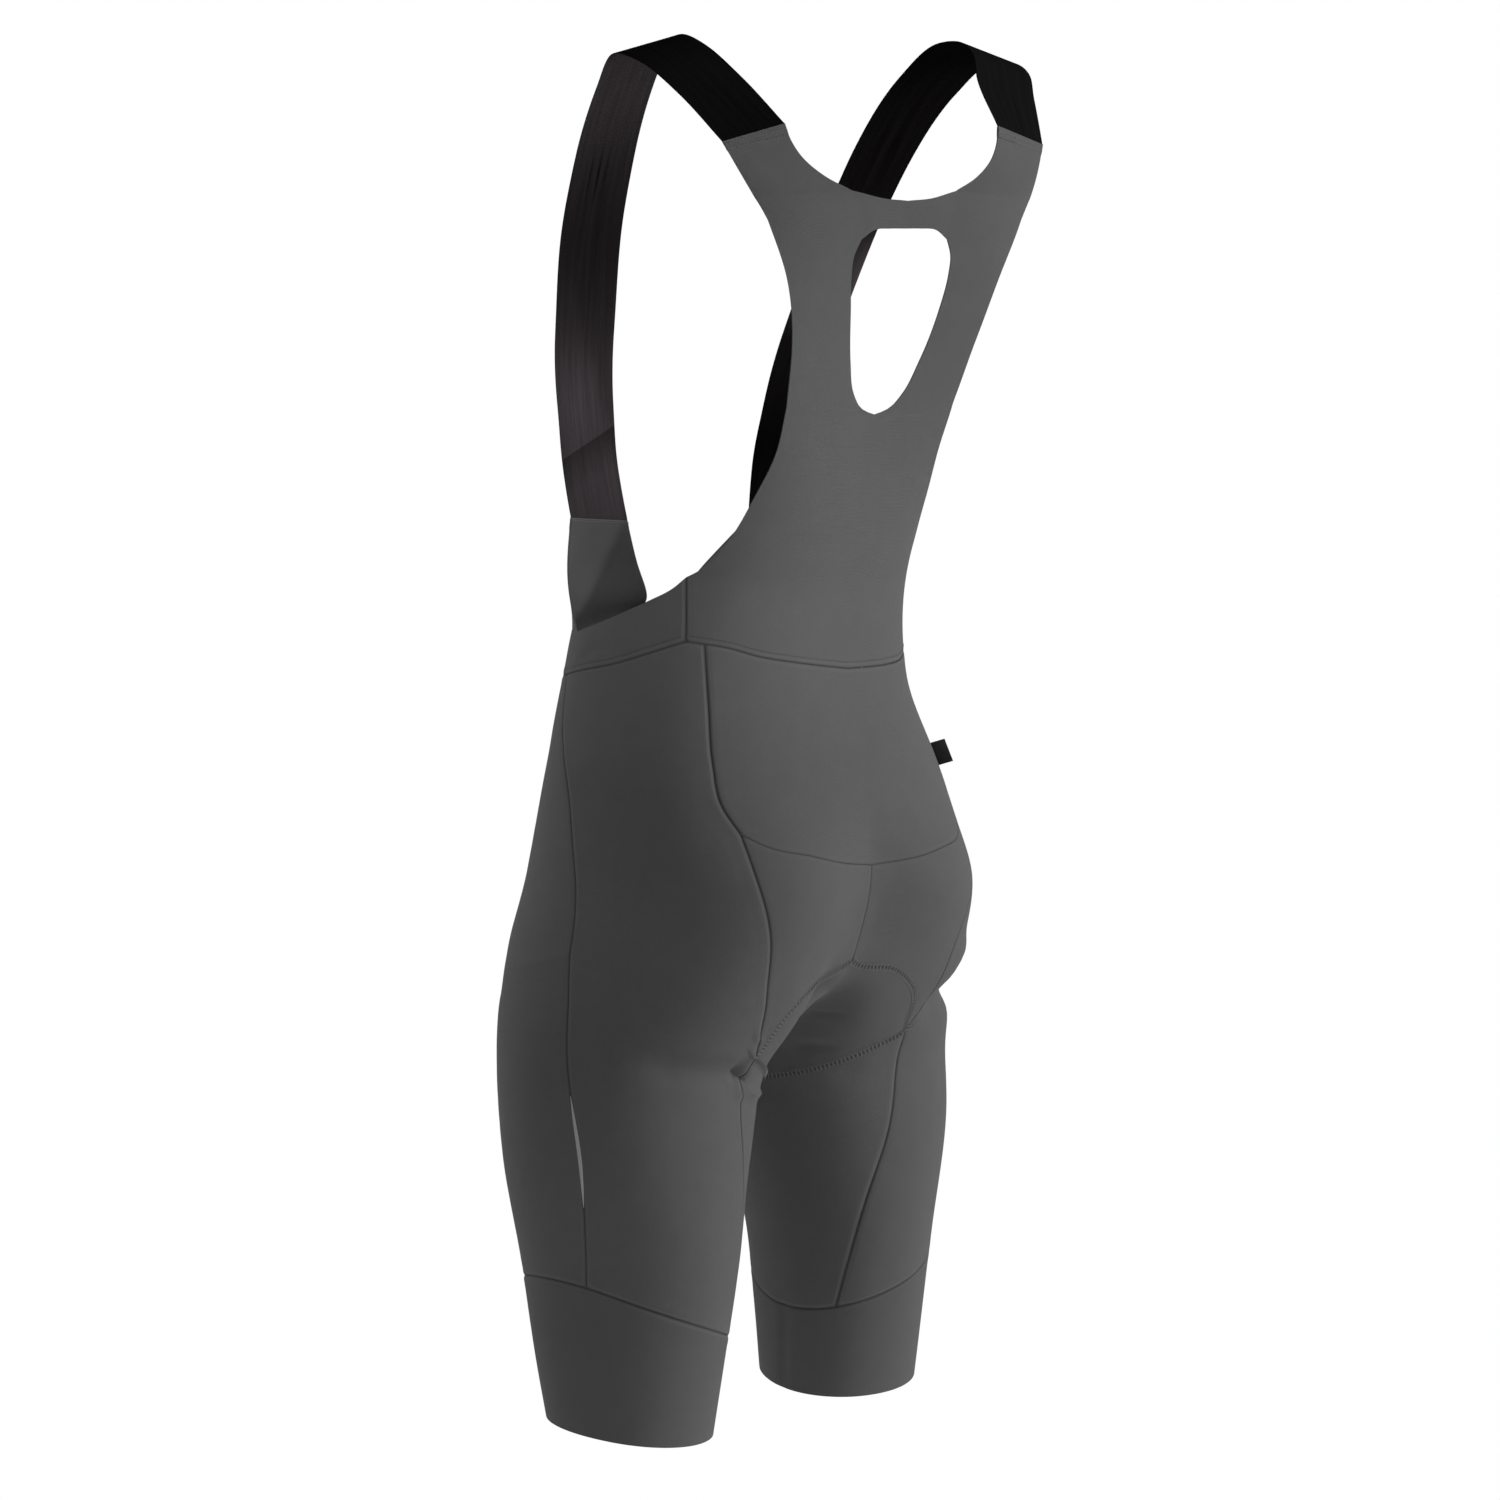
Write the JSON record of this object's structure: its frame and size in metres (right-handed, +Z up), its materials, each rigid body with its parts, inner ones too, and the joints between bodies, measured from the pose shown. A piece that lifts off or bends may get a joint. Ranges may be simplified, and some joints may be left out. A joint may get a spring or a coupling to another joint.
{
  "type": "cycling bib shorts",
  "caption": "Close-fitting cycling bib shorts in dark grey stretch cloth, worn shape, with a high cut-out back, wide shoulder straps and grip bands at the hems.",
  "frame": {"origin": "midway between the crests of the two shoulder straps, where the wearer's shoulders carry the garment", "axes": "+Z up along the worn garment, the garment's front faces -Y, the wearer's left is +X"},
  "size_m": [0.375, 0.3028, 0.9554],
  "materials": {
    "main_cloth": "matte",
    "strap_elastic": "matte",
    "band_cloth": "matte",
    "label_tape": "matte"
  },
  "bodies": {
    "root": {"bib_back": "main_cloth", "bib_front": "main_cloth", "strap_left": "strap_elastic", "strap_right": "strap_elastic", "lumbar_panel": "main_cloth", "seat_panel_left": "main_cloth", "seat_panel_right": "main_cloth", "gusset": "main_cloth", "side_panel_left": "main_cloth", "side_panel_right": "main_cloth", "front_panel_left": "main_cloth", "front_panel_right": "main_cloth", "grip_band_left": "band_cloth", "grip_band_right": "band_cloth", "hip_label": "label_tape"}
  },
  "joints": []
}
